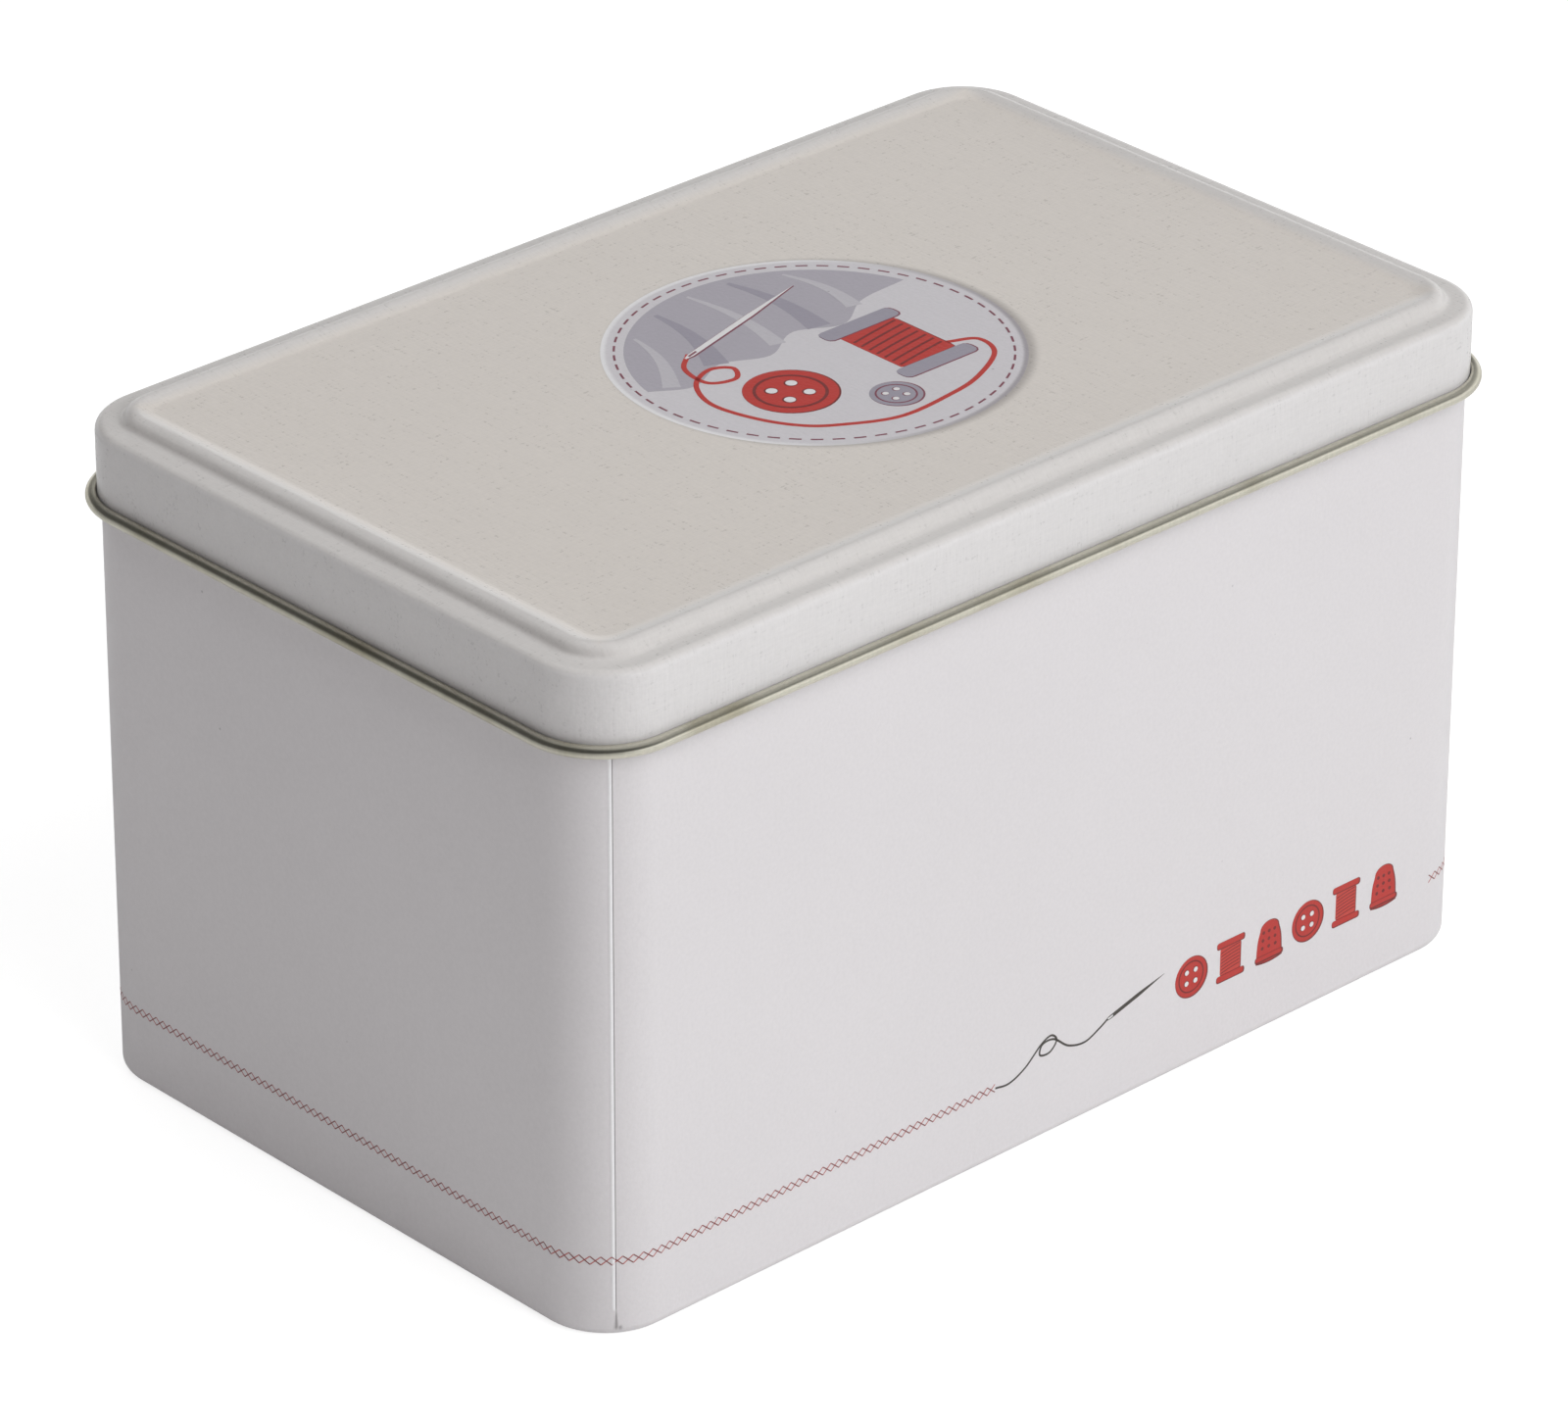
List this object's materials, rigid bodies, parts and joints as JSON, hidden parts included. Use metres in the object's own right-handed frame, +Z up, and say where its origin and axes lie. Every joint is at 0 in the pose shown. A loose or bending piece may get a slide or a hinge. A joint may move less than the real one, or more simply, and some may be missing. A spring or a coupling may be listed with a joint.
{
  "type": "sewing box",
  "caption": "Rectangular slip-lid tin for sewing things, with a rolled tinplate wall seamed at a corner, a hooked-in flat bottom, and a lift-off lid with a raised ring round its panel and a curled hem.",
  "frame": {"origin": "under the middle of the tin, on the surface that it stands on", "axes": "+Z up, the way the lid lifts off; +X along the long side; +Y along the short side, away from the printed front wall. The side seam is at the -X, -Y corner."},
  "size_m": [0.195, 0.125, 0.1143],
  "materials": {
    "white_lacquer": "satin off-white lacquer on tinplate, with a fine red cross-stitch line printed near the foot",
    "lid_lacquer": "satin off-white lacquer on tinplate, hem curl bare tin",
    "bare_tinplate": "bright tinplate under a thin clear lacquer, slightly warm"
  },
  "bodies": {
    "tin_body": {"body_wall": "white_lacquer", "bottom_plate": "bare_tinplate"},
    "lid_body": {"lid": "lid_lacquer"}
  },
  "joints": [
    {"name": "lid_lift", "type": "slide", "parent": "tin_body", "child": "lid_body", "axis": [0, 0, 1], "range_m": [0, 0.12]}
  ]
}
